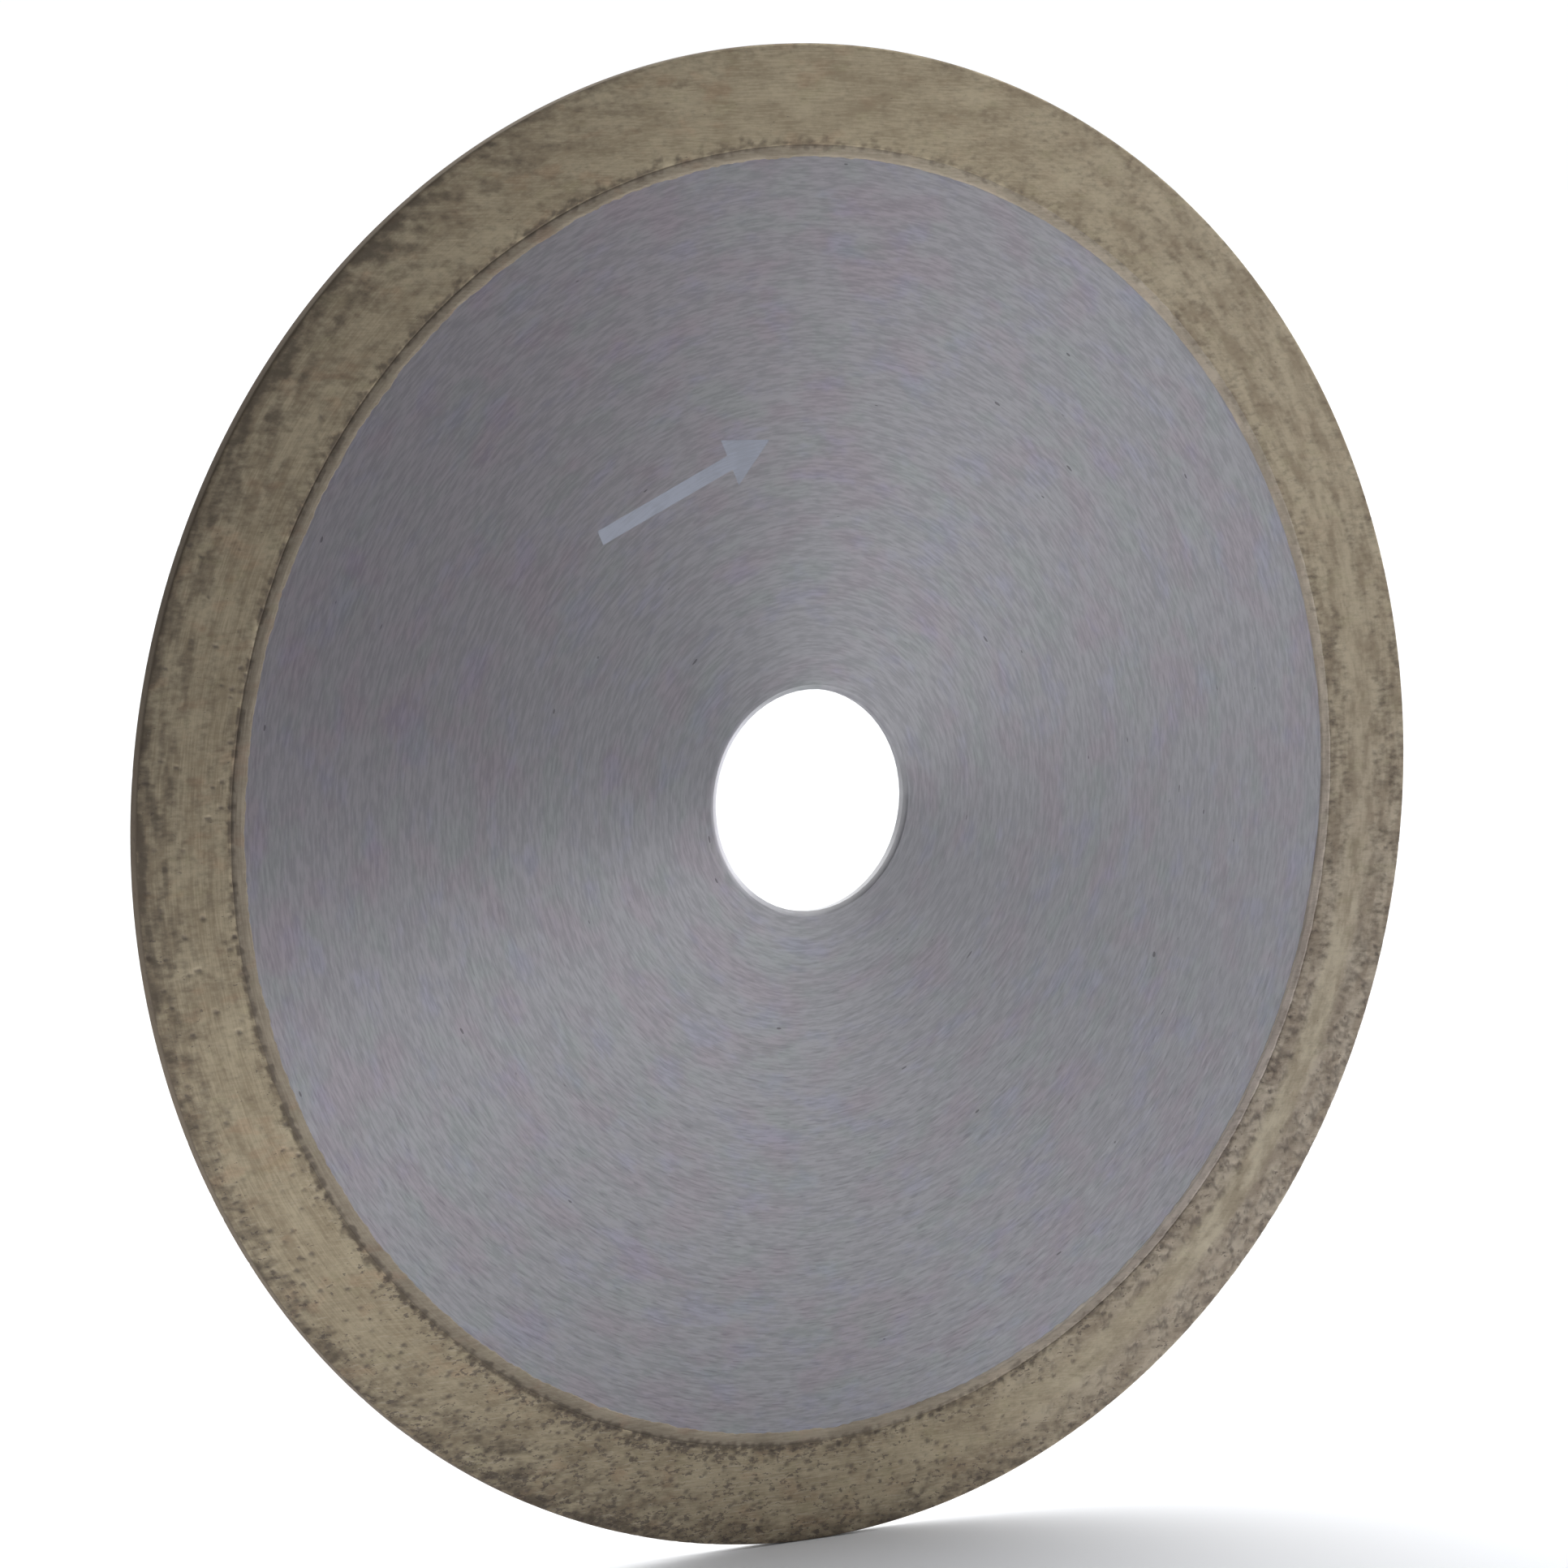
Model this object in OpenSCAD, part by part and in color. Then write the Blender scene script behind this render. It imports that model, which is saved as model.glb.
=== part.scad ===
// Thin continuous-rim diamond grinding wheel: a ground steel core, a sintered bronze rim in two
// layers, the diamond crystals that the rim holds, and a printed rotation arrow.
// The wheel's axis lies along Y, the printed face looks towards -Y, and the origin is its centre.

/* [Wheel] */
// Outside diameter over the crystal tips
wheel_d = 150; // [120:1:200]
// Thickness of the diamond rim, which is the width of the cut
rim_t = 1.6; // [1.5:0.1:2.4]
// Radial depth of the diamond layer
diamond_depth = 10; // [8:0.5:14]
// Radius worn onto the two outer corners of the rim
corner_r = 0.25; // [0.1:0.05:0.5]

/* [Steel core] */
// Thickness of the steel core
core_t = 1.2; // [1:0.1:1.3]
// Diameter of the bore
bore_d = 22.23; // [16:0.01:30]
// Radial width of the shallow lead-in on each side of the bore
lead_w = 0.5; // [0.1:0.1:0.8]
// Depth of the lead-in at the bore
lead_depth = 0.25; // [0.05:0.05:0.3]
// Thickness of the tongue that the rim is pressed round
tongue_t = 0.5; // [0.4:0.1:0.7]
// Number of key notches round the tongue
notches = 80; // [24:1:96]

/* [Backing ring] */
// Radial depth of the diamond-free backing ring
backing_depth = 0.9; // [0.8:0.1:1.5]
// Height of its strip above the face of the steel
strip_rise = 0.1; // [0.05:0.05:0.15]
// Radial width of the strip
strip_w = 0.4; // [0.3:0.05:0.6]
// Depth of the shrinkage groove below the face of the rim
groove_depth = 0.4; // [0.2:0.05:0.5]
// Radial width of the groove's outer flank
groove_flank = 0.3; // [0.2:0.05:0.5]

/* [Diamond grit] */
// Size of a crystal across its corners
grit_d = 0.5; // [0.3:0.05:0.6]
// Height of a crystal
grit_h = 0.36; // [0.2:0.02:0.4]
// How far the crystals stand out of the bond
grit_stand = 0.04; // [0.02:0.01:0.08]
// Number of crystals in each side face
face_crystals = 160; // [40:10:240]
// Number of crystals round the edge
edge_crystals = 90; // [30:3:120]

/* [Rotation arrow] */
// Length of the arrow
arrow_l = 21.5; // [12:0.1:30]
// Width of its shaft
arrow_w = 1.5; // [0.8:0.1:2]
// Length of its head
head_l = 5.1; // [3:0.1:7]
// Width of its head
head_w = 4.9; // [3:0.1:6]
// Distance of the arrow from the wheel's centre
arrow_r = 34.8; // [30:0.1:45]
// Direction of the arrow above the horizontal
arrow_angle = 25; // [0:1:45]
// Depth of the ink
ink_t = 0.03; // [0.02:0.01:0.06]

/* [Hidden] */
$fn = 180;
bond_r = wheel_d / 2 - grit_stand;
layer_r = wheel_d / 2 - diamond_depth;
core_r = layer_r - backing_depth;
tongue_r = layer_r - backing_depth / 3;
half_rim = rim_t / 2 - grit_stand;
half_core = core_t / 2;
half_strip = half_core + strip_rise;
half_groove = rim_t / 2 - groove_depth;
bore_r = bore_d / 2;
notch_w = 1.2;
notch_depth = 0.3;
tongue_root = 1;
corner_step = 15;
golden_angle = 137.508;
// How far the crystals keep from the corners of the diamond layer
grit_margin = 1;
// Height of the cutter for the ink's pocket, which breaks through the front face
pocket_h = 1;

// Turns the children so that the wheel's axis lies along Y, with +Z of the drawing at the front
module on_axis() {
    rotate([90, 0, 0]) children();
}

// A solid of revolution whose outline runs from the back face to the front face
module turned(half_outline) {
    back = [for (i = [len(half_outline) - 1 : -1 : 0]) [half_outline[i][0], -half_outline[i][1]]];
    rotate_extrude() polygon(concat(back, half_outline));
}

// The notched tongue at the edge of the core, with a root that reaches into the disc
module tongue() {
    difference() {
        cylinder(r = tongue_r, h = tongue_t, center = true);
        cylinder(r = core_r - tongue_root, h = tongue_t + 1, center = true);
        for (i = [0 : notches - 1])
            rotate([0, 0, i * 360 / notches])
                translate([tongue_r - notch_depth, -notch_w / 2, -tongue_t])
                    cube([notch_depth + 1, notch_w, 2 * tongue_t]);
    }
}

// Outline of the printed arrow, pointing along +X with its middle at the origin
module arrow_outline() {
    tip = arrow_l / 2;
    neck = tip - head_l;
    polygon([
        [-tip, -arrow_w / 2], [neck, -arrow_w / 2], [neck, -head_w / 2], [tip, 0],
        [neck, head_w / 2], [neck, arrow_w / 2], [-tip, arrow_w / 2]
    ]);
}

// The arrow as a thin slab whose top is flush with the front of the core
module arrow_slab(thickness) {
    rotate([0, 0, arrow_angle])
        translate([0, arrow_r, half_core - ink_t])
            linear_extrude(height = thickness) arrow_outline();
}

// One crystal with its outer end level with the XY plane
module crystal(spin) {
    rotate([0, 0, spin])
        translate([0, 0, -grit_h])
            cylinder(d = grit_d, h = grit_h, $fn = 6);
}

// Crystals spread evenly over one side face, along a spiral of golden-angle steps
module face_grit() {
    inner = layer_r + grit_margin;
    outer = bond_r - grit_margin;
    for (i = [0 : face_crystals - 1]) {
        share = (i + 0.5) / face_crystals;
        r = sqrt(inner * inner + share * (outer * outer - inner * inner));
        rotate([0, 0, i * golden_angle])
            translate([r, 0, rim_t / 2])
                crystal(i * golden_angle);
    }
}

// Crystals round the edge, in three staggered rows
module edge_grit() {
    row_gap = rim_t / 2 - grit_d;
    for (i = [0 : edge_crystals - 1])
        rotate([0, 0, i * 360 / edge_crystals])
            translate([wheel_d / 2, 0, (i % 3 - 1) * row_gap])
                rotate([0, 90, 0])
                    crystal(i * golden_angle);
}

module grit() {
    face_grit();
    mirror([0, 0, 1]) face_grit();
    edge_grit();
}

module steel_core() {
    blank = [
        [bore_r, half_core - lead_depth],
        [bore_r + lead_w, half_core],
        [core_r, half_core]
    ];
    color([0.56, 0.55, 0.58])
        on_axis() {
            difference() {
                union() {
                    turned(blank);
                    tongue();
                }
                arrow_slab(pocket_h);
            }
        }
}

module backing_ring() {
    outline = [
        [core_r, half_strip],
        [core_r + strip_w, half_strip],
        [layer_r, half_groove]
    ];
    color([0.55, 0.49, 0.40])
        on_axis()
            difference() {
                turned(outline);
                tongue();
            }
}

module diamond_rim() {
    corner = [
        for (a = [90 : -corner_step : 0])
            [bond_r - corner_r + corner_r * cos(a), half_rim - corner_r + corner_r * sin(a)]
    ];
    inner = [[layer_r, half_groove], [layer_r + groove_flank, half_rim]];
    color([0.50, 0.46, 0.36])
        on_axis()
            difference() {
                turned(concat(inner, corner));
                grit();
            }
}

module diamond_grit() {
    color([0.80, 0.80, 0.66])
        on_axis() grit();
}

module rotation_arrow() {
    color([0.66, 0.69, 0.76])
        on_axis() arrow_slab(ink_t);
}

steel_core();
backing_ring();
diamond_rim();
diamond_grit();
rotation_arrow();
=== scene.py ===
import math
import random

import bpy
from mathutils import Euler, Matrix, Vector, noise


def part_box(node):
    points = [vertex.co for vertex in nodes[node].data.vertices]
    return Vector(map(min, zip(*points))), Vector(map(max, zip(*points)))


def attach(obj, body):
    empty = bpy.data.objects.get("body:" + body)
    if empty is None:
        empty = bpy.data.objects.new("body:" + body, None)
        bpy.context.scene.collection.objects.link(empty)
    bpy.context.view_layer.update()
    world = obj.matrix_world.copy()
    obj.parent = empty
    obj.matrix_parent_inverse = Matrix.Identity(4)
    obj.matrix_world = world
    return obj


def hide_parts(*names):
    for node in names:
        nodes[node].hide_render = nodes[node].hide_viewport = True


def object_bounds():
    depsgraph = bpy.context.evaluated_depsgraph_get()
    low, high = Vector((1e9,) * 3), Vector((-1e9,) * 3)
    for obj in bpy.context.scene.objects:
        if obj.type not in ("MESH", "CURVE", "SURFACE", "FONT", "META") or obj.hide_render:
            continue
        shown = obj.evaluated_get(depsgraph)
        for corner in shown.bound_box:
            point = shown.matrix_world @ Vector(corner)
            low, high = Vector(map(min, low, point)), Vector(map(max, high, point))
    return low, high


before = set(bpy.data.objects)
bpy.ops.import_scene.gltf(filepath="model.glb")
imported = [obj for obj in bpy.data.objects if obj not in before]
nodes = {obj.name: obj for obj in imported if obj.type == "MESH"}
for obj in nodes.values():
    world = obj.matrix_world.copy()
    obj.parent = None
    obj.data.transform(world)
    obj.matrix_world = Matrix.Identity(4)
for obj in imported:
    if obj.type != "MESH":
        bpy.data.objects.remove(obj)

cad_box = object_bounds()
scene = bpy.context.scene
scene.view_settings.view_transform = "Standard"
MM = 0.001

# ---------------------------------------------------------------- sizes, in millimetres
# From the frame:
TIP_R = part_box("diamond_grit")[1].x / MM          # over the crystal tips
BOND_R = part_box("diamond_rim")[1].x / MM          # outside of the bond
LAYER_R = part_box("backing_ring")[1].x / MM        # where the diamond layer starts
TONGUE_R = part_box("steel_core")[1].x / MM         # edge of the hidden tongue
CORE_R = LAYER_R - 3 * (LAYER_R - TONGUE_R)       # edge of the steel's visible face
HALF_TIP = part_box("diamond_grit")[1].y / MM       # half thickness over the crystal tips
HALF_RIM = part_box("diamond_rim")[1].y / MM
HALF_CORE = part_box("steel_core")[1].y / MM
HALF_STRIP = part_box("backing_ring")[1].y / MM
FLOOR_Z = cad_box[0][2]

# Not in the frame's boxes:
GROOVE_H = 0.4        # half thickness at the bottom of the shrinkage groove
GROOVE_W = 0.3        # radial width of the groove's outer flank
CORNER_R = 0.25       # radius worn onto the rim's corners
BORE_R = 11.115       # radius of the bore
LIP_W = 0.6           # radial width of the lead-in round it, with its polished edge
PAINTED_HIGHLIGHT_W = (0.35, 0.95)   # radial widths between which the painted highlight round it ends
WEAR_W = 1.6          # radial width over which the rim's faces taper towards the edge
WEAR_DEPTH = 0.05     # how far they taper
PIT_DEPTH = 0.08      # deepest pits in the bond
STAIN_DEPTH = 0.06    # how far the bond beside the groove is broken down where it is stained


# ---------------------------------------------------------------- small helpers
HEIGHT_SHARE = 1.3        # noise on the rim changes this much faster through the wheel than across it
BORE_HEIGHT_SHARE = 0.3   # the same on the steel, whose thickness shows only in the bore
SEED_STEP = 31.7          # how far apart the noise of two seeds lies


def smooth(low, high, value):
    """0 below low, 1 above high, and a smooth step between."""
    t = min(max((value - low) / (high - low), 0.0), 1.0)
    return t * t * (3 - 2 * t)


def unrolled(radius, angle, height, along, across, seed=0):
    """Noise coordinates for marks that follow the rim: `along` mm round it and `across` mm wide."""
    turn = BOND_R / along
    lift = (radius + HEIGHT_SHARE * height) / across + SEED_STEP * seed
    return Vector((turn * math.cos(angle), turn * math.sin(angle), lift))


def laid(radius, angle, height, along, across, seed=0):
    """Noise coordinates for marks drawn straight over the rim, `along` mm in X, `across` mm in Z."""
    x, z = radius * math.cos(angle), radius * math.sin(angle)
    return Vector((x / along, HEIGHT_SHARE * height / across + SEED_STEP * seed, z / across))


def cloud(place):
    """Smooth noise, from about -1 to 1."""
    return noise.noise(place) * 1.4


def facing(angle, toward, spread):
    """1 in that clock direction, in degrees up from the wheel's right, easing to 0 at the spread."""
    away = abs((math.degrees(angle) - toward + 180) % 360 - 180)
    return 1 - smooth(0, spread, away)


def on_wheel(radius, angle, y):
    """The point at that radius and angle, and that far along the axis, from millimetres to metres."""
    return Vector((radius * math.cos(angle), y, radius * math.sin(angle))) * MM


def add_mesh(name, points, faces, material, shade_smooth=True):
    """A new object in the scene, made of those points and faces."""
    mesh = bpy.data.meshes.new(name)
    mesh.from_pydata(points, [], faces)
    mesh.materials.append(material)
    mesh.polygons.foreach_set("use_smooth", [shade_smooth] * len(mesh.polygons))
    mesh.update()
    piece = bpy.data.objects.new(name, mesh)
    scene.collection.objects.link(piece)
    return piece


def add_marks(piece, marks):
    """Stores named values on the mesh's points, for its material to read."""
    for name, values in marks.items():
        piece.data.attributes.new(name, "FLOAT", "POINT").data.foreach_set("value", values)


def ring_faces(segments, outline):
    """Quads of a closed ring whose cross-section has that many points."""
    faces = []
    for i in range(segments):
        a, b = i * outline, (i + 1) % segments * outline
        for j in range(outline):
            k = (j + 1) % outline
            faces.append((a + j, a + k, b + k, b + j))
    return faces


# ---------------------------------------------------------------- materials
class Graph:
    """The nodes of a material or of the world, with short calls for the ones used here."""

    def __init__(self, owner, shader, place):
        self.owner = owner
        owner.use_nodes = True
        self.tree = owner.node_tree
        self.shader = self.tree.nodes[shader]
        self.place = self.node("ShaderNodeTexCoord").outputs[place]

    def node(self, kind, **settings):
        """A new node of that kind, with those settings."""
        made = self.tree.nodes.new(kind)
        for key, value in settings.items():
            setattr(made, key, value)
        return made

    def feed(self, value, socket):
        """Gives a socket a value, or links it to the output that holds one."""
        if isinstance(value, bpy.types.NodeSocket):
            self.tree.links.new(value, socket)
        else:
            socket.default_value = value

    def math(self, operation, first, second):
        made = self.node("ShaderNodeMath", operation=operation)
        self.feed(first, made.inputs[0])
        self.feed(second, made.inputs[1])
        return made.outputs[0]

    def times(self, first, second):
        return self.math("MULTIPLY", first, second)

    def plus(self, first, second):
        return self.math("ADD", first, second)

    def minus(self, first, second):
        return self.math("SUBTRACT", first, second)

    def span(self, value, low, high, to_low=0.0, to_high=1.0):
        """value mapped smoothly from low..high to to_low..to_high, and held there."""
        made = self.node("ShaderNodeMapRange", interpolation_type="SMOOTHSTEP")
        for index, part in enumerate((value, low, high, to_low, to_high)):
            self.feed(part, made.inputs[index])
        return made.outputs[0]

    def reach(self, length, low, high, to_low=0.0, to_high=1.0):
        """span() for a length in metres, with low and high in millimetres."""
        return self.span(length, low * MM, high * MM, to_low, to_high)

    def mix(self, factor, first, second, blend="MIX"):
        made = self.node("ShaderNodeMix", data_type="RGBA", blend_type=blend)
        for index, part in ((0, factor), (6, first), (7, second)):
            self.feed(part, made.inputs[index])
        return made.outputs[2]

    def tint(self, factor, colour, by):
        """The colour, multiplied by another as far as the factor goes from 0 to 1."""
        return self.mix(factor, colour, by, "MULTIPLY")

    def blend(self, factor, first, second):
        """The number `first`, turning into `second` as the factor goes from 0 to 1."""
        made = self.node("ShaderNodeMix")
        for index, part in ((0, factor), (2, first), (3, second)):
            self.feed(part, made.inputs[index])
        return made.outputs[0]

    def noise(self, vector, scale, detail=2.0, roughness=0.5):
        made = self.node("ShaderNodeTexNoise")
        self.feed(vector, made.inputs["Vector"])
        self.feed(scale, made.inputs["Scale"])
        self.feed(detail, made.inputs["Detail"])
        self.feed(roughness, made.inputs["Roughness"])
        return made.outputs["Fac"]

    def attribute(self, name):
        return self.node("ShaderNodeAttribute", attribute_name=name).outputs["Fac"]

    def polar(self):
        """The place along X and Z, and the radius from the wheel's axis, in metres."""
        parts = self.node("ShaderNodeSeparateXYZ")
        self.feed(self.place, parts.inputs[0])
        x, y, z = parts.outputs
        flat = self.node("ShaderNodeCombineXYZ")
        self.feed(x, flat.inputs[0])
        self.feed(z, flat.inputs[2])
        length = self.node("ShaderNodeVectorMath", operation="LENGTH")
        self.feed(flat.outputs[0], length.inputs[0])
        return x, y, z, length.outputs["Value"]

    def rings(self, along, across):
        """Coordinates for marks that follow circles round the axis, `along` by `across` mm."""
        x, y, z, radius = self.polar()
        made = self.node("ShaderNodeCombineXYZ")
        self.feed(self.times(x, 1 / (along * MM)), made.inputs[0])
        self.feed(self.times(z, 1 / (along * MM)), made.inputs[1])
        lift = self.plus(radius, self.times(y, BORE_HEIGHT_SHARE))
        self.feed(self.times(lift, 1 / (across * MM)), made.inputs[2])
        return made.outputs[0]

    def unrolled(self, along, across):
        """The same coordinates as unrolled() above, for marks of that size in mm on the rim."""
        x, y, z, radius = self.polar()
        made = self.node("ShaderNodeCombineXYZ")
        for index, part in ((0, x), (1, z)):
            turned = self.math("DIVIDE", part, radius)
            self.feed(self.times(turned, BOND_R / along), made.inputs[index])
        lift = self.plus(radius, self.times(y, HEIGHT_SHARE))
        self.feed(self.times(lift, 1 / (across * MM)), made.inputs[2])
        return made.outputs[0]

    def laid(self, along, across):
        """The same coordinates as laid() above, for marks of that size in mm."""
        x, y, z, _ = self.polar()
        made = self.node("ShaderNodeCombineXYZ")
        for index, part, size in ((0, x, along), (1, y, across / HEIGHT_SHARE), (2, z, across)):
            self.feed(self.times(part, 1 / (size * MM)), made.inputs[index])
        return made.outputs[0]

    def brushed_round(self, amount):
        """Spreads reflections away from the axis, as marks that run round it do."""
        tangent = self.node("ShaderNodeTangent", direction_type="RADIAL", axis="Y")
        self.tree.links.new(tangent.outputs[0], self.shader.inputs["Tangent"])
        self.set(Anisotropic=amount, Anisotropic_Rotation=0.25)

    def bump(self, height, distance, strength=1.0):
        made = self.node("ShaderNodeBump")
        made.inputs["Strength"].default_value = strength
        made.inputs["Distance"].default_value = distance
        self.feed(height, made.inputs["Height"])
        self.tree.links.new(made.outputs[0], self.shader.inputs["Normal"])

    def set(self, **values):
        """Sets the shader's sockets; a word's underscores stand for spaces."""
        for key, value in values.items():
            self.feed(value, self.shader.inputs[key.replace("_", " ")])

    def dim_behind(self):
        """Share of the light that reflections see: less behind the wheel and to its right."""
        parts = self.node("ShaderNodeSeparateXYZ")
        self.feed(self.place, parts.inputs[0])
        x, y, _ = parts.outputs
        behind = self.span(y, *DIM_FROM_Y)
        right = self.span(x, *DIM_FROM_X)
        share = self.times(self.times(behind, right), BACK_DIMMING)
        share = self.times(share, self.node("ShaderNodeLightPath").outputs["Is Glossy Ray"])
        return self.minus(1.0, share)


def material_graph(name):
    return Graph(bpy.data.materials.new(name), "Principled BSDF", "Object")


STEEL_ROUGHNESS = 0.54
STEEL_BRUSHING = 0.73                            # anisotropy; fitted, as the roughness is
STEEL_DARK, STEEL_LIGHT = (0.455, 0.448, 0.472, 1), (0.580, 0.573, 0.597, 1)
LAVENDER_TINT = (0.97, 0.97, 1.10, 1)
GREEN_TINT = (0.96, 1.01, 0.97, 1)
PINK_TINT = (1.01, 0.955, 0.98, 1)
# The rosy tint and the left tint are painted shade, for the steel's upper left and its left.
ROSY_PAINTED_SHADE_TINT = (0.97, 0.935, 0.94, 1)
DASH_TINT = (0.80, 0.79, 0.80, 1)
LEFT_PAINTED_SHADE_TINT = (0.93, 0.93, 0.93, 1)
SPECK = (0.12, 0.11, 0.12, 1)
# Painted light for the lead-in's lower right and a painted highlight beside the bore's left; on the
# next line, painted shade for the lead-in's upper right.
LIP_PAINTED_LIGHT, LIP_PAINTED_HIGHLIGHT = (0.80, 0.79, 0.80, 1), (0.95, 0.93, 0.97, 1)
LIP_PAINTED_SHADE_TINT = (0.66, 0.66, 0.67, 1)


def steel_patches(g, colour, x, z):
    """The colour tinted in soft patches of lavender, green and pink, with painted shade that darkens it
    at the upper left and at the left.
    """
    lavender = g.span(g.noise(g.rings(6.0, 3.5), 1.0, 3.0, 0.6), 0.50, 0.70, 0.0, 0.6)
    colour = g.tint(lavender, colour, LAVENDER_TINT)
    green = g.span(g.noise(g.rings(5.0, 3.2), 0.8, 3.0, 0.5), 0.50, 0.68, 0.0, 0.8)
    colour = g.tint(green, colour, GREEN_TINT)
    pink = g.span(g.noise(g.rings(7.0, 5.0), 1.0, 3.0, 0.5), 0.48, 0.66)
    colour = g.tint(pink, colour, PINK_TINT)
    # Painted shade: darker and rosier towards the upper left, then darker again at the left.
    upper_left = g.reach(g.minus(x, z), -80, -10, 1.0, 0.0)
    colour = g.tint(upper_left, colour, ROSY_PAINTED_SHADE_TINT)
    return g.tint(g.reach(x, -60, 0, 1.0, 0.0), colour, LEFT_PAINTED_SHADE_TINT)


def bore_lip(g, colour, x, z, radius):
    """The colour round the bore, with painted light at the lower right of the lead-in, painted shade at
    its upper right and a painted highlight beside it at the left; also how far that place is on the
    lead-in, and how far the painted light covers it.
    """
    lip = g.reach(radius, BORE_R, BORE_R + LIP_W, 1.0, 0.0)
    # Painted light: lighter and less metallic at the lead-in's lower right.
    lip_painted_light = g.times(lip, g.reach(g.minus(x, z), 3, 14))
    colour = g.mix(lip_painted_light, colour, LIP_PAINTED_LIGHT)
    # Painted shade: darker at the lead-in's upper right.
    lip_painted_shade = g.times(lip, g.reach(g.plus(x, z), 2, 10, 0.0, 0.8))
    colour = g.tint(lip_painted_shade, colour, LIP_PAINTED_SHADE_TINT)
    # Painted highlight: a bright crescent just outside the bore at its left.
    painted_highlight = g.reach(radius, BORE_R + PAINTED_HIGHLIGHT_W[0], BORE_R + PAINTED_HIGHLIGHT_W[1], 1.0, 0.0)
    painted_highlight = g.times(painted_highlight, g.reach(x, -10, -5, 0.8, 0.0))
    return g.mix(painted_highlight, colour, LIP_PAINTED_HIGHLIGHT), lip, lip_painted_light


def steel_material():
    """Ground steel: short strokes and darker dashes that run round the axis, over soft patches."""
    g = material_graph("ground_steel")
    x, _, z, radius = g.polar()
    strokes = g.noise(g.rings(1.8, 0.24), 1.0, 2.0, 0.6)
    lines = g.noise(g.rings(3.8, 0.52), 1.0, 2.0, 0.5)
    tone = g.plus(g.times(strokes, 0.6), g.times(lines, 0.4))
    colour = g.mix(g.span(tone, 0.36, 0.64), STEEL_DARK, STEEL_LIGHT)
    dashes = g.span(g.noise(g.rings(2.0, 0.2), 1.0, 1.0), 0.58, 0.70)
    dashes = g.times(dashes, g.reach(z, -45, 10, 0.75, 0.15))
    colour = steel_patches(g, g.tint(dashes, colour, DASH_TINT), x, z)
    specks = g.span(g.noise(g.rings(1.6, 0.5), 1.0, 0.0), 0.87, 0.90, 0.0, 0.6)
    colour = g.mix(specks, colour, SPECK)
    colour, lip, lip_painted_light = bore_lip(g, colour, x, z, radius)
    rough = g.span(lines, 0.3, 0.7, STEEL_ROUGHNESS - 0.04, STEEL_ROUGHNESS + 0.04)
    rough = g.minus(rough, g.times(lip, 0.12))
    # The painted light at the lead-in's lower right also makes it less metallic there.
    g.set(Base_Color=colour, Roughness=rough, Metallic=g.minus(1.0, g.times(lip_painted_light, 0.7)))
    g.brushed_round(STEEL_BRUSHING)
    g.bump(tone, 0.00001, 0.35)
    return g.owner


BRONZE_METALLIC, BRONZE_BRUSHING = 0.85, 0.7
BOND_LIGHT, BOND_DARK = (0.63, 0.54, 0.385, 1), (0.435, 0.355, 0.245, 1)
STRIP_LIGHT, STRIP_DARK = (0.65, 0.565, 0.445, 1), (0.48, 0.41, 0.32, 1)
BARE_IN, BARE_OUT = (66.8, 68.2), (69.8, 71.2)   # where the bare band starts and ends, in mm
# Painted sheen for the bronze's lower right.
PAINTED_SHEEN_TINT = (1.01, 1.02, 1.15, 1)
BARE_TINT = (1.10, 1.12, 1.06, 1)
COPPER_TINT = (1.0, 0.84, 0.80, 1)
OLIVE_TINT = (0.92, 0.955, 0.88, 1)
# Painted shade for the strip's left.
STRIP_PAINTED_SHADE_TINT = (0.77, 0.762, 0.755, 1)
TAIL = (0.72, 0.64, 0.51, 1)
# Painted light for the strip's slope at the lower right.
PAINTED_LIGHT_SLOPE = (0.93, 0.84, 0.72, 1)
STAIN = (0.19, 0.155, 0.125, 1)
PIT_BROWN = (0.165, 0.135, 0.12, 1)


def bronze_tints(g, colour, x, z, radius, right):
    """The colour with a painted bluish sheen at the lower right, bare in a band along it, with copper
    and olive patches.
    """
    # Painted sheen: bluer and a little lighter at the lower right.
    painted_sheen = g.times(right, g.reach(z, -35, 20, 1.0, 0.25))
    colour = g.tint(painted_sheen, colour, PAINTED_SHEEN_TINT)
    band = g.times(g.reach(radius, *BARE_IN), g.reach(radius, *BARE_OUT, 1.0, 0.0))
    bare = g.times(g.times(right, band), g.reach(z, -30, 0, 1.0, 0.0))
    colour = g.tint(bare, colour, BARE_TINT)
    copper = g.span(g.noise(g.laid(4.0, 2.0), 1.1, 2.0, 0.5), 0.56, 0.72, 0.0, 0.42)
    copper = g.times(copper, g.reach(x, -20, 30, 1.0, 0.25))
    colour = g.tint(copper, colour, COPPER_TINT)
    olive = g.span(g.noise(g.laid(3.0, 1.6), 0.9, 2.0, 0.5), 0.58, 0.74, 0.0, 0.4)
    return g.tint(olive, colour, OLIVE_TINT)


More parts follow.
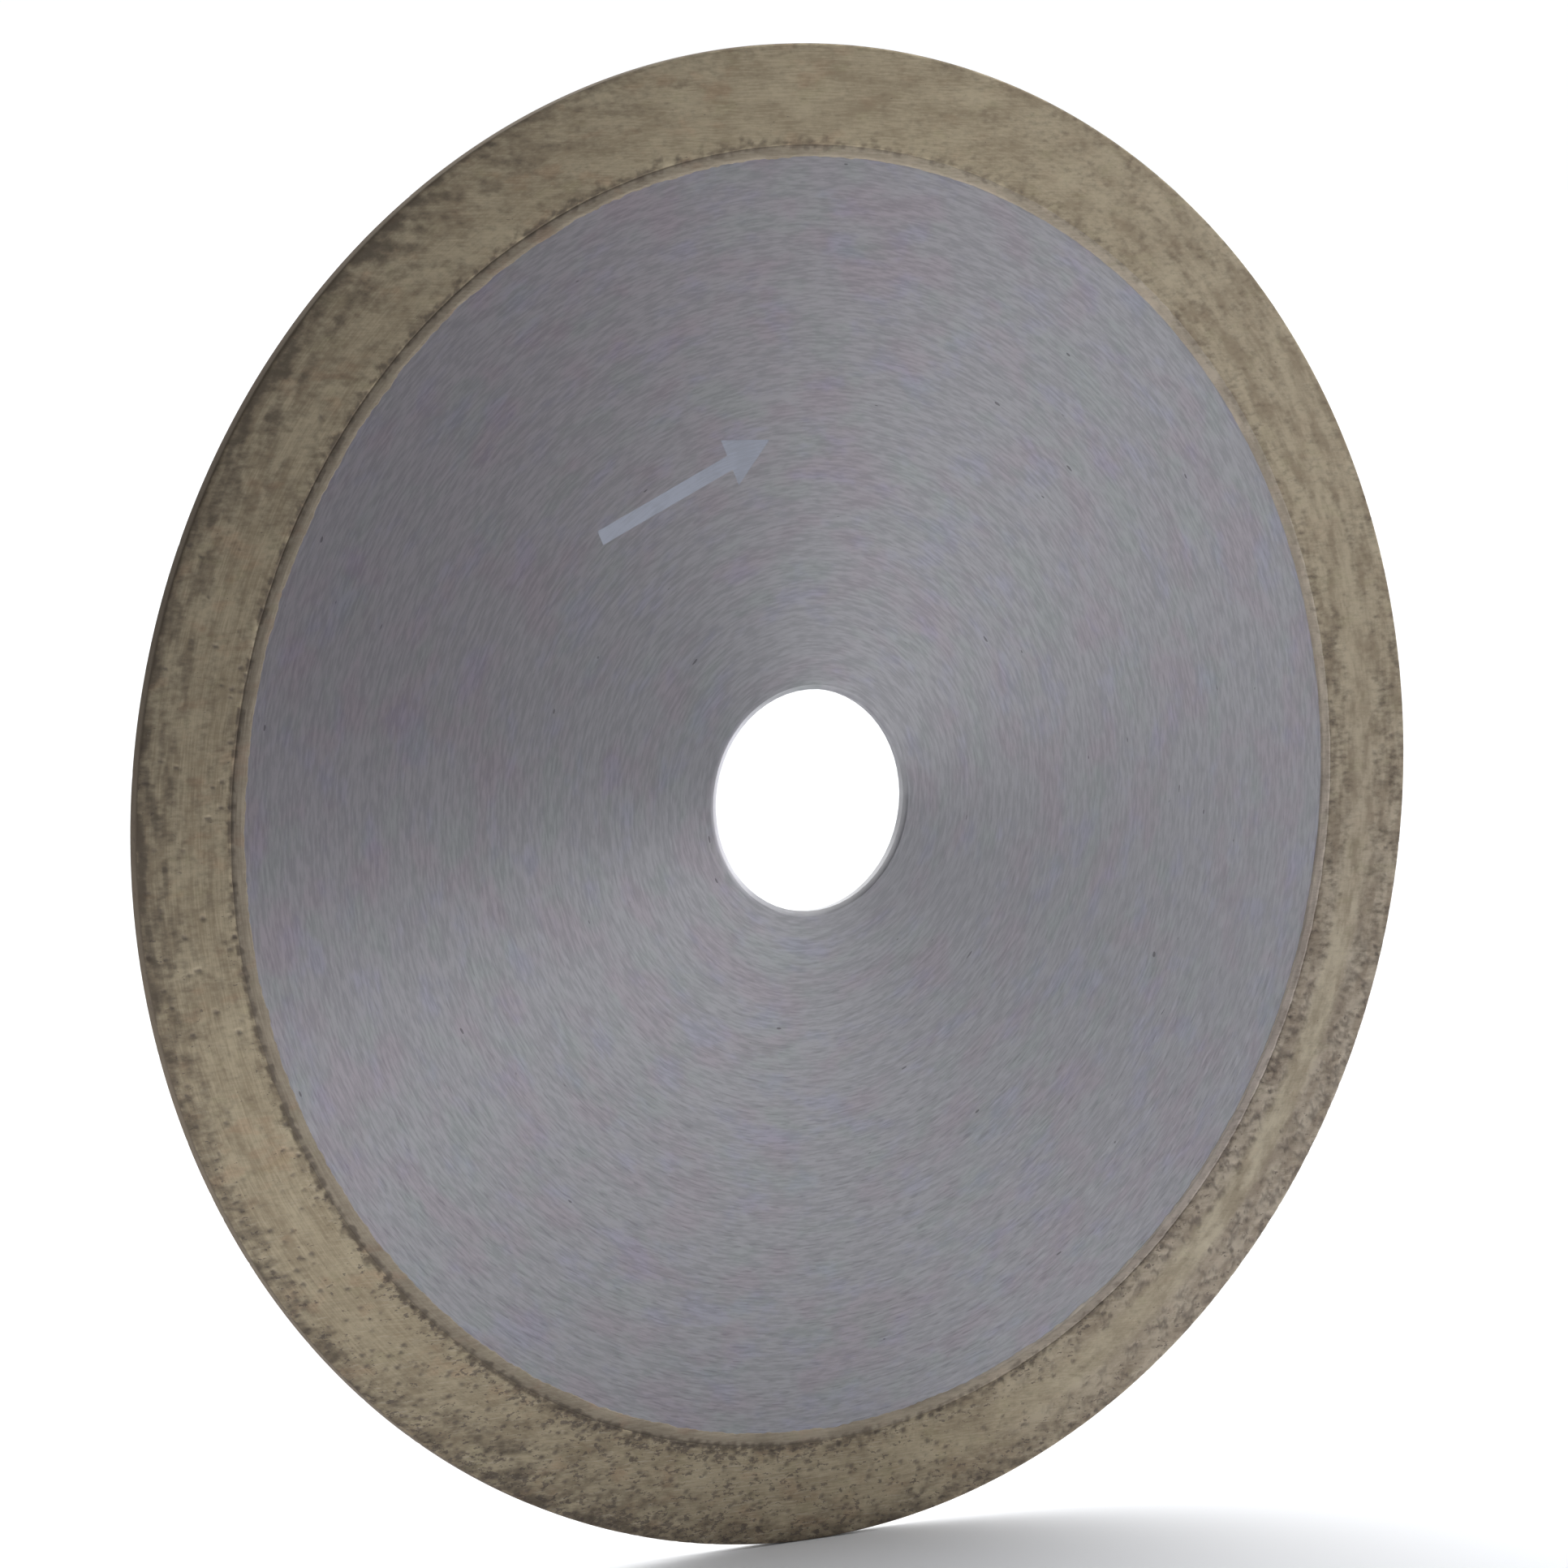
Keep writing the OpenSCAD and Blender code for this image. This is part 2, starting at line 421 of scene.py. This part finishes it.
def bronze_colour(g, light, dark):
    """Bronze in broad patches, with fine marks: along the rim at the left, and straight elsewhere.

    Also returns the noise of those marks and that of the grain.
    """
    x, _, z, radius = g.polar()
    left, right = g.reach(x, -70, -30, 1.0, 0.0), g.reach(x, 10, 55)
    broad = g.noise(g.laid(6.0, 2.6), 1.0, 3.0, 0.55)
    broad_round = g.noise(g.unrolled(5.0, 1.5), 1.0, 3.0, 0.55)
    straight = g.noise(g.laid(2.4, 0.16), 1.0, 2.0, 0.55)
    curved = g.noise(g.unrolled(3.2, 0.17), 1.0, 2.0, 0.55)
    grain = g.noise(g.laid(0.6, 0.4), 1.0, 2.0, 0.6)
    patches = g.blend(g.math("MAXIMUM", left, right), broad, broad_round)
    fine = g.blend(g.span(left, 0.0, 1.0, 0.35, 0.8), straight, curved)
    share = g.span(right, 0.0, 1.0, 0.44, 0.20)
    tone = g.plus(g.times(fine, share), g.times(grain, 0.14))
    tone = g.plus(tone, g.times(patches, g.minus(0.86, share)))
    colour = g.mix(g.span(tone, 0.38, 0.62), dark, light)
    return bronze_tints(g, colour, x, z, radius, right), fine, grain


def stained(g, colour):
    """The colour under the mesh's stains, broken up into blotches, and how stained that place is."""
    x = g.polar()[0]
    blotches = g.noise(g.laid(1.1, 0.55), 1.0, 2.0, 0.6)
    uneven = g.times(g.minus(blotches, 0.5), g.reach(x, 0, 60, 0.95, 1.4))
    share = g.span(g.plus(g.attribute("stain"), uneven), 0.02, 0.95)
    return g.mix(g.times(share, 0.80), colour, STAIN), share


def bond_material():
    """The diamond layer's bond, with pits and stains from the mesh, and specks of its own."""
    g = material_graph("sintered_bond")
    colour, lines, grain = bronze_colour(g, BOND_LIGHT, BOND_DARK)
    tails = g.span(g.noise(g.laid(1.7, 0.15), 1.0, 1.0, 0.5), 0.60, 0.74, 0.0, 0.8)
    colour = g.mix(g.times(tails, g.attribute("crowding")), colour, TAIL)
    colour, share = stained(g, colour)
    fine = g.noise(g.laid(0.80, 0.38), 1.0, 3.0, 0.65)
    least = g.minus(0.71, g.times(g.attribute("crowding"), 0.25))
    specks = g.span(g.minus(fine, least), 0.0, 0.05, 0.0, 0.66)
    dark = g.math("MAXIMUM", g.times(g.attribute("pits"), 0.66), specks)
    colour = g.mix(dark, colour, PIT_BROWN)
    rough = g.plus(g.span(lines, 0.3, 0.7, 0.48, 0.58), g.times(share, 0.22))
    g.set(Base_Color=colour, Metallic=BRONZE_METALLIC, Roughness=rough)
    g.brushed_round(BRONZE_BRUSHING)
    height = g.plus(g.times(lines, 0.6), g.times(grain, 0.5))
    g.bump(g.minus(height, specks), 0.00002, 0.6)
    return g.owner


def strip_material():
    """The backing ring and its skin: painted shade darkens it at the left, and painted light brightens
    its slope at the lower right.
    """
    g = material_graph("backing_bronze")
    colour, lines, grain = bronze_colour(g, STRIP_LIGHT, STRIP_DARK)
    x, _, z, radius = g.polar()
    # Painted shade: darker towards the left.
    colour = g.tint(g.reach(x, -50, 40, 1.0, 0.0), colour, STRIP_PAINTED_SHADE_TINT)
    # Painted light: the slope at the lower right made brighter.
    slope = g.reach(radius, CORE_R - 0.12, CORE_R + 0.02, 1.0, 0.0)
    lower_right = g.times(g.reach(x, 12, 35), g.reach(z, -30, -5, 1.0, 0.0))
    colour = g.mix(g.times(slope, lower_right), colour, PAINTED_LIGHT_SLOPE)
    colour = stained(g, colour)[0]
    g.set(Base_Color=colour, Metallic=BRONZE_METALLIC, Roughness=0.6)
    g.brushed_round(BRONZE_BRUSHING)
    g.bump(g.plus(lines, grain), 0.00003, 0.6)
    return g.owner


GRIT_DARK, GRIT_LIGHT = (0.20, 0.175, 0.12, 1), (0.42, 0.39, 0.28, 1)
GRIT_IOR = 1.8
INK_FRESH, INK_WORN = (0.45, 0.475, 0.555, 1), (0.395, 0.412, 0.480, 1)


def grit_material():
    """Dusty crystals, each a little lighter or darker."""
    g = material_graph("diamond_crystal")
    tone = g.noise(g.place, 700.0, 1.0)
    colour = g.mix(g.span(tone, 0.35, 0.65), GRIT_DARK, GRIT_LIGHT)
    g.set(Base_Color=colour, Roughness=g.span(tone, 0.3, 0.7, 0.35, 0.55), IOR=GRIT_IOR)
    return g.owner


def ink_material():
    """Pale ink, worn along the grinding marks, and a little more towards the arrow's head."""
    g = material_graph("arrow_ink")
    worn = g.noise(g.rings(2.5, 0.14), 1.0, 2.0, 0.6)
    patch = g.noise(g.place, 420.0, 2.0, 0.5)
    x = g.polar()[0]
    wear = g.plus(g.times(worn, 0.5), g.times(patch, 0.5))
    wear = g.plus(wear, g.reach(x, -22, -4, 0.0, 0.02))
    colour = g.mix(g.span(wear, 0.40, 0.64), INK_FRESH, INK_WORN)
    g.set(Base_Color=colour, Metallic=0.25, Roughness=0.5)
    return g.owner


steel = steel_material()
bond = bond_material()
strip = strip_material()
grit = grit_material()
ink = ink_material()


def dress(node, material):
    """Gives a CAD node that material in place of its own."""
    slots = nodes[node].data.materials
    slots.clear()
    slots.append(material)


for node_name, material in (
    ("steel_core", steel), ("backing_ring", strip), ("diamond_rim", bond),
    ("diamond_grit", grit), ("rotation_arrow", ink),
):
    dress(node_name, material)


# ---------------------------------------------------------------- the sintered rim, with its pits
RIM_SEGMENTS = 1760
FACE_STEP = 0.25                      # radial width of the quads on the faces
CORNER_TURNS = (60, 30, 0)            # directions of the points round a corner, in degrees
GROOVE_FILL = 0.22                    # how high smeared bond fills the groove
MOST_CROWDED = 0.78                   # greatest share of places with a pit
LOT_SCALE = 7.3                       # spreads the centres of cells over the noise that draws lots

# Radii in mm between which the layer changes, from inside to outside. In the functions below,
# clock directions and their spreads are in degrees.
MIDDLE_IN, MIDDLE_OUT = (67.4, 68.4), (70.0, 71.4)
PITTED_IN, PITTED_OUT = (65.8, 67.4), (71.4, 73.8)
DARKER_HALF, DARKER_FOOT, DARKER_BOTTOM = (69.0, 73.2), (68.5, 71.5), (70.5, 73.6)
WORN_EDGE, DARK_EDGE = (71.4, 73.7), (73.4, 74.8)


def groove_floor(angle, side):
    """Half thickness at the groove's bottom, which smeared bond fills unevenly, most at the right."""
    smeared = 0.5 + 0.5 * math.cos(angle - math.radians(10))
    uneven = 0.04 * cloud(unrolled(LAYER_R, angle, side, 1.2, 5.0, 13))
    return GROOVE_H + GROOVE_FILL + 0.09 * smeared + uneven


def rim_section():
    """Half of the rim's outline, from the groove to the edge: radius, height, and the way out."""
    points = []
    start, end = LAYER_R + GROOVE_W, BOND_R - CORNER_R
    count = round((end - start) / FACE_STEP)
    for i in range(count + 1):
        points.append((start + (end - start) * i / count, HALF_RIM, 0.0, 1.0))
    for turn in CORNER_TURNS:
        out, up = math.cos(math.radians(turn)), math.sin(math.radians(turn))
        points.append((end + CORNER_R * out, HALF_RIM - CORNER_R + CORNER_R * up, out, up))
    points.append((BOND_R, (HALF_RIM - CORNER_R) / 2, 1.0, 0.0))
    return points


def middle_band(radius):
    """1 along the smooth band in the middle of the layer."""
    return smooth(*MIDDLE_IN, radius) * (1 - smooth(*MIDDLE_OUT, radius))


def crowding(radius, angle):
    """Share of places with a pit: most at the bottom, fewer at the lower right, few elsewhere."""
    low, right = facing(angle, 256, 62), facing(angle, 316, 50)
    edges = smooth(*PITTED_OUT, radius) + 1 - smooth(*PITTED_IN, radius)
    share = 0.58 * low + 0.26 * (1 - middle_band(radius)) * right + 0.12 * facing(angle, 188, 48)
    share += edges * (0.16 * low + 0.16 * right + 0.22 * facing(angle, 212, 60))
    return min(MOST_CROWDED, share)


def curls(radius, angle, height):
    """From 0 to 1, the broken edges of cells, mostly at the lower right."""
    crowded = smooth(0.0, 0.2, crowding(radius, angle))
    curled = facing(angle, 322, 62) * (1 - 0.8 * middle_band(radius)) * (0.45 + 0.55 * crowded)
    cells = noise.voronoi(laid(radius, angle, height, 1.3, 1.05, 1))[0]
    line = 1 - smooth(0.04, 0.26, cells[1] - cells[0])
    kept = cloud(laid(radius, angle, height, 1.4, 1.0, 2))
    broken = smooth(0.0, 0.5, kept + 0.45 * curled - 0.15)
    return 0.8 * line * broken * curled


def dashes(radius, angle, height):
    """From 0 to 1, short pits that lie sideways, in a share of the cells that the crowding sets."""
    spots, centres = noise.voronoi(laid(radius, angle, height, 1.05, 0.6, 3))
    lot = 0.5 + 0.5 * noise.cell(centres[0] * LOT_SCALE)
    return (1 - smooth(0.18, 0.44, spots[0])) * (lot < 0.75 * crowding(radius, angle))


def pits(radius, angle, height):
    """From 0, sound bond, to 1, the bottom of a pit."""
    return min(1.0, curls(radius, angle, height) + dashes(radius, angle, height))


def drawn_cloud(radius, angle, height, along, across, seed):
    """Noise drawn out straight at the top and bottom, and round the wheel at its sides."""
    sides = max(facing(angle, 170, 62), facing(angle, 10, 80))
    straight = cloud(laid(radius, angle, height, along, across, seed))
    curved = cloud(unrolled(radius, angle, height, along, across, seed))
    return straight + (curved - straight) * sides


def groove_line(radius, angle, side):
    """The dark line in the groove, uneven and broken, faintest at the right."""
    wander = cloud(unrolled(LAYER_R, angle, side, 2.4, 5.0, 4))
    width = 0.55 + 0.28 * cloud(unrolled(LAYER_R, angle, side, 0.9, 5.0, 5))
    middle = LAYER_R + 0.02 - 0.16 * facing(angle, 10, 90) + 0.12 * wander
    line = 1 - smooth(0.45 * width, width, abs(radius - middle))
    strong = 0.62 + 0.28 * facing(angle, 210, 120) - 0.40 * facing(angle, 5, 125)
    fade = 0.36 + 0.64 * smooth(-0.4, 0.4, cloud(unrolled(LAYER_R, angle, side, 0.8, 5.0, 7)))
    return line * fade * strong


def groove_smudge(radius, angle, side):
    """Smudges that spread from the groove into the layer."""
    reach = 0.5 + 1.6 * smooth(-0.3, 0.6, cloud(unrolled(LAYER_R, angle, side, 1.3, 5.0, 6)))
    past = radius - LAYER_R
    smudge = (1 - smooth(0.2, reach + 0.3, past)) * smooth(-0.4, 0.1, past)
    patchy = 0.35 + 0.65 * smooth(-0.3, 0.4, cloud(laid(radius, angle, side, 0.9, 0.6, 14)))
    heavy = 0.50 + 0.30 * max(facing(angle, 250, 70), facing(angle, 128, 55))
    heavy -= 0.10 * facing(angle, 20, 90)
    return heavy * smudge * patchy


def groove_stain(radius, angle, height):
    """How dark that place is with what lies in the groove, from 0 to 1."""
    side = math.copysign(HALF_RIM, height)
    return max(groove_line(radius, angle, side), groove_smudge(radius, angle, side))


def darkening(radius, angle):
    """How dark the layer is in that part of the wheel, from 0 to 1, before it breaks up."""
    outer = smooth(*DARKER_HALF, radius)
    # Darker towards the upper left, the left, the lower left, the bottom, the right and the upper
    # right, each by its own amount.
    upper_left = facing(angle, 138, 62) * (0.48 + 0.50 * outer)
    left = facing(angle, 180, 54) * (0.40 + 0.46 * outer)
    worn = 0.74 * facing(angle, 222, 58) + 0.30 * facing(angle, 170, 60)
    worn *= smooth(*WORN_EDGE, radius)
    foot = facing(angle, 244, 30) * (0.32 + 0.45 * smooth(*DARKER_FOOT, radius))
    bottom = facing(angle, 275, 48) * (0.22 + 0.45 * smooth(*DARKER_BOTTOM, radius))
    right = facing(angle, 358, 56) * 0.50 * (1 - 0.85 * middle_band(radius))
    upper_right = facing(angle, 55, 60) * 0.30
    return max(upper_left, left, worn, foot, bottom, right, upper_right)


def stain(radius, angle, height):
    """From 0, clean, to 1, dark: in the groove, on the worn edge, and in smudges drawn out sideways."""
    blot = drawn_cloud(radius, angle, height, 3.4, 1.15, 8)
    blot += 0.5 * drawn_cloud(radius, angle, height, 1.5, 0.5, 9)
    soft = darkening(radius, angle) * (0.32 + 0.56 * smooth(-0.55, 0.85, blot))
    inner = 0.06 * (1 - smooth(LAYER_R + 0.6, LAYER_R + 2.2, radius))
    dark = 0.08 + 0.16 * max(facing(angle, 170, 95), facing(angle, 262, 60))
    edge = 1 - smooth(HALF_RIM - CORNER_R, HALF_RIM - 0.05, abs(height))
    rim = smooth(*DARK_EDGE, radius) * dark + edge
    return min(1.0, max(groove_stain(radius, angle, height), soft + inner + rim))


def groove_wall(angle, side):
    """The groove's outer wall on that side of the rim, from its bottom up, as in rim_section()."""
    floor = groove_floor(angle, side)
    halfway = (LAYER_R + GROOVE_W / 2, side * (floor + HALF_RIM) / 2, 0.0, 0.0)
    return [(LAYER_R, side * floor, 0.0, 0.0), halfway]


def make_rim():
    """The bond's mesh, pressed in where it is pitted, stained in the groove or worn at the edge."""
    half = rim_section()
    face = half + [(BOND_R, 0.0, 1.0, 0.0)] + [(r, -h, out, -up) for r, h, out, up in reversed(half)]
    points = []
    marks = {"pits": [], "stain": [], "crowding": []}
    for i in range(RIM_SEGMENTS):
        angle = 2 * math.pi * i / RIM_SEGMENTS
        section = groove_wall(angle, 1) + face + groove_wall(angle, -1)[::-1]
        for radius, height, out, up in section:
            pit = pits(radius, angle, height)
            dark = stain(radius, angle, height)
            depth = PIT_DEPTH * pit * (1 - 0.6 * out)
            depth += STAIN_DEPTH * dark * (1 - smooth(LAYER_R + GROOVE_W, LAYER_R + 1.2, radius))
            worn = WEAR_DEPTH * smooth(BOND_R - WEAR_W, BOND_R, radius) * up
            points.append(on_wheel(radius - depth * out, angle, height - depth * up - worn))
            marks["pits"].append(pit)
            marks["stain"].append(dark)
            marks["crowding"].append(crowding(radius, angle))
    piece = add_mesh("rim_bond", points, ring_faces(RIM_SEGMENTS, len(section)), bond)
    add_marks(piece, marks)
    return piece


rim_bond = make_rim()
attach(rim_bond, "root")
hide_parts("diamond_rim")


# ---------------------------------------------------------------- crystals that stand out of the bond
FACE_CRYSTALS, EDGE_CRYSTALS = 1500, 700         # in each face, and in the edge
CRYSTAL_SIZE = (0.09, 0.17)                      # from the middle of a crystal to its corners
CORNER_SPREAD = (0.8, 1.2)                       # how unevenly its corners stand out
REACH = 1.2                                      # the most that a corner stands out
SINK = (0.0, 0.03)                               # how far its tips may lie below the outermost
GRIT_INNER, GRIT_OUTER = LAYER_R + 0.9, BOND_R - 0.5
GRIT_HALF_EDGE = 0.45                            # how far from the middle of the edge it may sit


def make_grit():
    """Small eight-sided crystals, sunk in both faces and in the edge of the rim."""
    draw = random.Random(7)
    points, faces = [], []
    corners = [Vector(c) for c in ((1, 0, 0), (-1, 0, 0), (0, 1, 0), (0, -1, 0), (0, 0, 1), (0, 0, -1))]
    sides = ((0, 2, 4), (2, 1, 4), (1, 3, 4), (3, 0, 4), (2, 0, 5), (1, 2, 5), (3, 1, 5), (0, 3, 5))

    def crystal(centre, size):
        turn = Euler([draw.uniform(0, math.tau) for _ in range(3)]).to_matrix()
        base = len(points)
        for corner in corners:
            points.append(centre + turn @ corner * draw.uniform(*CORNER_SPREAD) * size * MM)
        faces.extend(tuple(base + k for k in side) for side in sides)

    for side in (-1, 1):
        for _ in range(FACE_CRYSTALS):
            size = draw.uniform(*CRYSTAL_SIZE)
            radius = math.sqrt(draw.uniform(GRIT_INNER ** 2, GRIT_OUTER ** 2))
            height = HALF_TIP - REACH * size - draw.uniform(*SINK)
            crystal(on_wheel(radius, draw.uniform(0, math.tau), side * height), size)
    for _ in range(EDGE_CRYSTALS):
        size = draw.uniform(*CRYSTAL_SIZE)
        radius = TIP_R - REACH * size - draw.uniform(*SINK)
        angle = draw.uniform(0, math.tau)
        crystal(on_wheel(radius, angle, draw.uniform(-GRIT_HALF_EDGE, GRIT_HALF_EDGE)), size)
    return add_mesh("exposed_grit", points, faces, grit, shade_smooth=False)


exposed_grit = make_grit()
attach(exposed_grit, "root")
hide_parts("diamond_grit")


# ---------------------------------------------------------------- bronze skin from steel to groove
SKIN_SEGMENTS = 1760
STRIP_W = 0.4         # flat width of the backing ring's strip
LEAST_LAP = 0.22      # least width of the skin on the steel
SKIN_T = 0.006        # thickness of the skin at its feathered edge, and over the strip
SKIN_ROOT = 0.02      # how far its underside is sunk in the steel
SKIN_SEAT = 0.15      # where its underside, and the middle of its crest, lie past the steel's edge
GROOVE_LAP = 0.06     # how far it goes past the middle of the groove, and below its bottom


def skin_width(angle, side):
    """Radial width of the bronze that laps onto the steel, widest at the left, with a ragged edge."""
    even = 0.31 - 0.25 * math.cos(angle - math.radians(22))
    ragged = 0.11 * cloud(unrolled(CORE_R, angle, side, 2.6, 5.0, 10))
    ragged += 0.10 * cloud(unrolled(CORE_R, angle, side, 0.7, 5.0, 11))
    return max(LEAST_LAP + 0.3 * ragged, even + ragged)


def skin_section(angle, side):
    """Radii and heights round the shell there: edge, slope, uneven crest, groove and underside."""
    width = skin_width(angle, side)
    swell = cloud(unrolled(CORE_R, angle, side, 1.5, 5.0, 12))
    floor = groove_floor(angle, side)
    crest = HALF_STRIP + SKIN_T + 0.012 * swell
    strip_end = CORE_R + STRIP_W
    rise, drop = crest - HALF_CORE, crest - floor
    return (
        (CORE_R - width, HALF_CORE - SKIN_ROOT),
        (CORE_R - width, HALF_CORE + SKIN_T),
        (CORE_R - width * 0.75, HALF_CORE + 0.25 * rise),
        (CORE_R - width * 0.40, HALF_CORE + 0.65 * rise),
        (CORE_R - width * 0.10, crest),
        (CORE_R + SKIN_SEAT, crest + SKIN_T * swell),
        (strip_end - 0.10 + 0.07 * swell, crest),
        (strip_end + 0.12, crest - 0.2 * drop),
        (strip_end + 0.30, crest - 0.6 * drop),
        (LAYER_R + GROOVE_LAP, floor + 0.01),
        (LAYER_R + GROOVE_LAP, GROOVE_H - GROOVE_LAP),
        (CORE_R + SKIN_SEAT, HALF_CORE - SKIN_ROOT),
    )


def make_skin(name, side):
    """A thin shell over the backing ring on that side of the wheel."""
    points = []
    marks = {"stain": []}
    for i in range(SKIN_SEGMENTS):
        angle = 2 * math.pi * i / SKIN_SEGMENTS
        section = skin_section(angle, side)
        points += [on_wheel(radius, angle, side * height) for radius, height in section]
        marks["stain"] += [groove_stain(radius, angle, side * height) for radius, height in section]
    faces = ring_faces(SKIN_SEGMENTS, len(section))
    if side < 0:
        faces = [face[::-1] for face in faces]
    piece = add_mesh(name, points, faces, strip)
    add_marks(piece, marks)
    return piece


for skin_name, skin_side in (("bond_skin_front", -1), ("bond_skin_back", 1)):
    skin = make_skin(skin_name, skin_side)
    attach(skin, "root")


# ---------------------------------------------------------------- floor, light and camera, in metres
# The light's numbers and the card's place are fitted, so that the steel is as bright as in the photo.
BRIGHT_SIDE = (0.613, 0.690, 0.385)   # unit vector towards the bright part of the studio
BRIGHT, DIM = 3.90, 0.100             # radiance of the studio's bright and dim parts
BRIGHT_EDGE = (0.18, 0.87)            # cosines from BRIGHT_SIDE between which one becomes the other
WHITE = 1.04                          # radiance of the studio as the camera sees it
STUDIO_TINT = (0.97, 0.985, 1.0, 1)
BACK_DIMMING = 0.84                   # share of the light behind the wheel that reflections lose
DIM_FROM_Y, DIM_FROM_X = (0.0, 0.25), (-0.60, 0.0)   # where that dimming sets in
FLAG_LEFT, FLAG_RIGHT = (-0.450, -0.008, 0.0), (0.307, -0.387, 0.0)   # the dark card's two ends
FLAG_TOP = 0.158                      # height of its upper edge; the lower one is on the floor
FLAG_COLOUR = (0.03, 0.03, 0.035, 1)
FLOOR_COLOUR, BLACK = (0.86, 0.86, 0.87, 1), (0.0, 0.0, 0.0, 1)
FLOOR_SIZE = 40.0
FLOOR_GAP = 0.00002                   # keeps the floor just below the wheel
MATT = 0.9                            # roughness of the floor and of the card
LENS, SENSOR = 139.9, 36.0            # focal length and width of the frame, in mm
CAMERA_PLACE = (-0.3284, -0.5076, 0.0636)
CAMERA_AIM = (-0.0020, 0.0014, 0.0016)


def make_floor():
    """A matt floor just under the wheel."""
    g = material_graph("pale_floor")
    g.set(Base_Color=g.mix(g.dim_behind(), BLACK, FLOOR_COLOUR), Roughness=MATT)
    bpy.ops.mesh.primitive_plane_add(size=FLOOR_SIZE, location=(0, 0, FLOOR_Z - FLOOR_GAP))
    floor = bpy.context.object
    floor.name = "floor"
    floor.data.materials.append(g.owner)


def make_flag():
    """A dark card in front, which only reflections see; it hides the far floor from the steel."""
    g = material_graph("dark_card")
    g.set(Base_Color=FLAG_COLOUR, Roughness=MATT)
    left, right = Vector(FLAG_LEFT), Vector(FLAG_RIGHT)
    low, high = Vector((0, 0, FLOOR_Z)), Vector((0, 0, FLAG_TOP))
    corners = [left + low, right + low, right + high, left + high]
    flag = add_mesh("dark_flag", corners, [(0, 1, 2, 3)], g.owner)
    flag.visible_camera = False
    flag.visible_diffuse = False
    flag.visible_shadow = False


def make_world():
    """White for the camera; for the rest, bright behind the wheel and to its right, dim in front."""
    scene.world = bpy.data.worlds.new("studio")
    g = Graph(scene.world, "Background", "Generated")
    toward = g.node("ShaderNodeVectorMath", operation="DOT_PRODUCT")
    g.feed(g.place, toward.inputs[0])
    g.feed(BRIGHT_SIDE, toward.inputs[1])
    light = g.span(toward.outputs["Value"], *BRIGHT_EDGE, DIM, BRIGHT)
    light = g.times(light, g.dim_behind())
    seen = g.node("ShaderNodeLightPath").outputs["Is Camera Ray"]
    unseen = g.times(light, g.minus(1.0, seen))
    g.set(Color=STUDIO_TINT, Strength=g.plus(unseen, g.times(seen, WHITE)))


def make_camera():
    """The camera where the photo was taken from, fitted to the outlines of the rim and of the bore."""
    lens = bpy.data.cameras.new("camera")
    lens.lens = LENS
    lens.sensor_width = SENSOR
    camera = bpy.data.objects.new("camera", lens)
    scene.collection.objects.link(camera)
    place = Vector(CAMERA_PLACE)
    camera.location = place
    camera.rotation_euler = (Vector(CAMERA_AIM) - place).to_track_quat("-Z", "Y").to_euler()
    scene.camera = camera


make_floor()
make_flag()
make_world()
make_camera()
